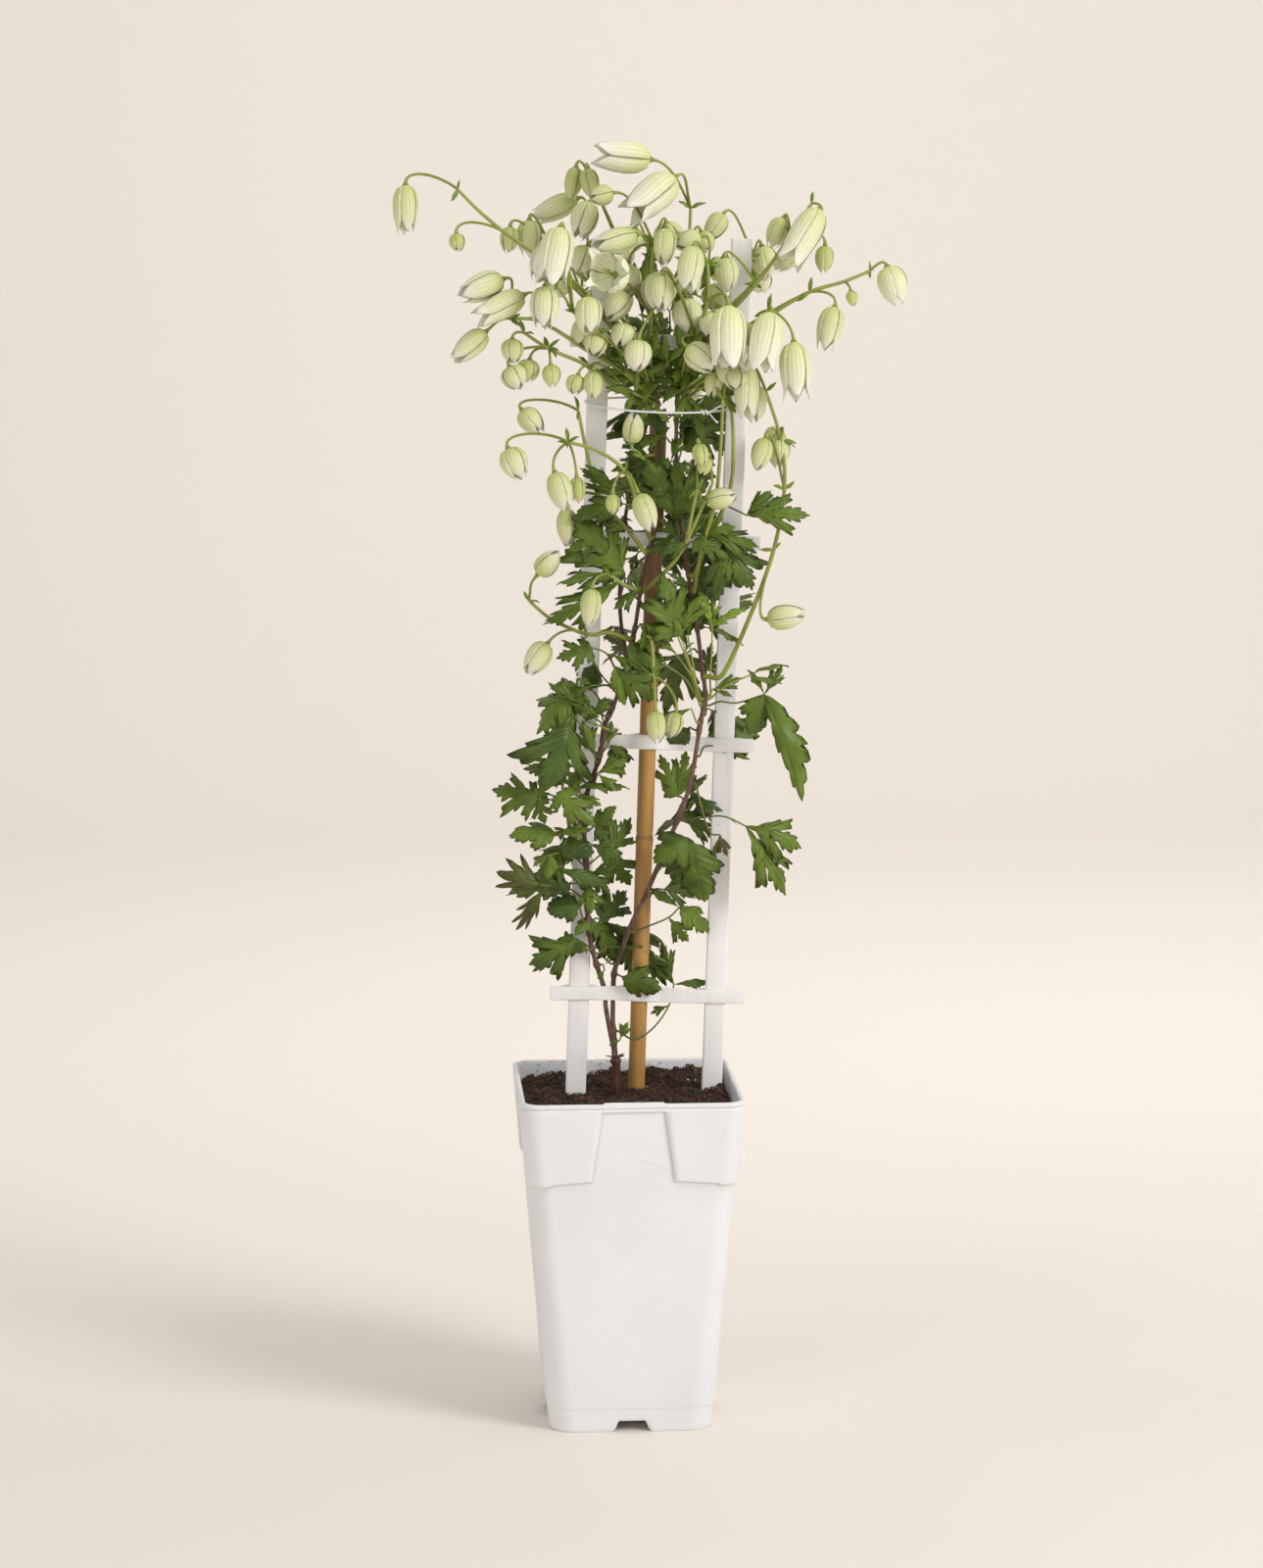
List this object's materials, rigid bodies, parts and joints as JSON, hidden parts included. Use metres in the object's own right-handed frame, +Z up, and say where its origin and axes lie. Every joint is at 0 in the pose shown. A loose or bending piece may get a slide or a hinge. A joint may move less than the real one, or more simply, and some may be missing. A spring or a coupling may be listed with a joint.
{
  "type": "clematis plant on a trellis",
  "caption": "Flowering clematis with nodding pale bells and cut dark leaves, tied to a flat white slat trellis with a bamboo cane, standing in a tall square white pot.",
  "frame": {"origin": "middle of the plant's spread, on the surface that the pot stands on", "axes": "+Z up, the pot's front faces -Y, and the plant leans towards +X"},
  "size_m": [0.2943, 0.13, 0.7516],
  "materials": {
    "white_plastic": "smooth matt white moulded plastic",
    "peat": "damp fibrous potting compost",
    "bamboo": "dry golden tan cane with a faint sheen",
    "young_bark": "brown-purple streaked young bark",
    "leaf_green": "dark green leaf with a soft sheen",
    "sepal_pale": "matt cream-green sepal with darker veins"
  },
  "bodies": {
    "root": {"bloom_bud_mid": "sepal_pale", "bloom_far_left": "sepal_pale", "bloom_far_right": "sepal_pale", "bloom_front_mid": "sepal_pale", "bloom_hang_left": "sepal_pale", "bloom_hang_mid": "sepal_pale", "bloom_left_back": "sepal_pale", "bloom_left_drop": "sepal_pale", "bloom_left_front": "sepal_pale", "bloom_left_low": "sepal_pale", "bloom_low_left": "sepal_pale", "bloom_lower_left": "sepal_pale", "bloom_mid_left": "sepal_pale", "bloom_right_arm": "sepal_pale", "bloom_right_front": "sepal_pale", "bloom_right_shoot": "sepal_pale", "bloom_right_up": "sepal_pale", "bloom_small_right": "sepal_pale", "bloom_top": "sepal_pale", "bloom_top_left": "sepal_pale", "bloom_top_mid": "sepal_pale", "cane": "bamboo", "leaf_arched_right": "leaf_green", "leaf_back_right": "leaf_green", "leaf_big_blue": "leaf_green", "leaf_big_dark": "leaf_green", "leaf_blue_green": "leaf_green", "leaf_bronze_left": "leaf_green", "leaf_crown_left": "leaf_green", "leaf_crown_right": "leaf_green", "leaf_fan_left": "leaf_green", "leaf_fan_stalks": "leaf_green", "leaf_inner_low": "leaf_green", "leaf_inner_mid": "leaf_green", "leaf_level_left": "leaf_green", "leaf_low_left": "leaf_green", "leaf_low_right": "leaf_green", "leaf_lower_mid": "leaf_green", "leaf_mid_left": "leaf_green", "leaf_node_left": "leaf_green", "leaf_over_rung": "leaf_green", "leaf_pair_mid": "leaf_green", "leaf_pendants": "leaf_green", "leaf_right_dark": "leaf_green", "leaf_right_upper": "leaf_green", "leaf_round_left": "leaf_green", "leaf_seedling": "leaf_green", "leaf_seven_lobes": "leaf_green", "leaf_upper_left": "leaf_green", "pot": "white_plastic", "rung_1": "white_plastic", "rung_2": "white_plastic", "rung_3": "white_plastic", "rung_4": "white_plastic", "soil": "peat", "tie_ring": "white_plastic", "upright_left": "white_plastic", "upright_right": "white_plastic", "vine_shoots": "young_bark"}
  },
  "joints": []
}
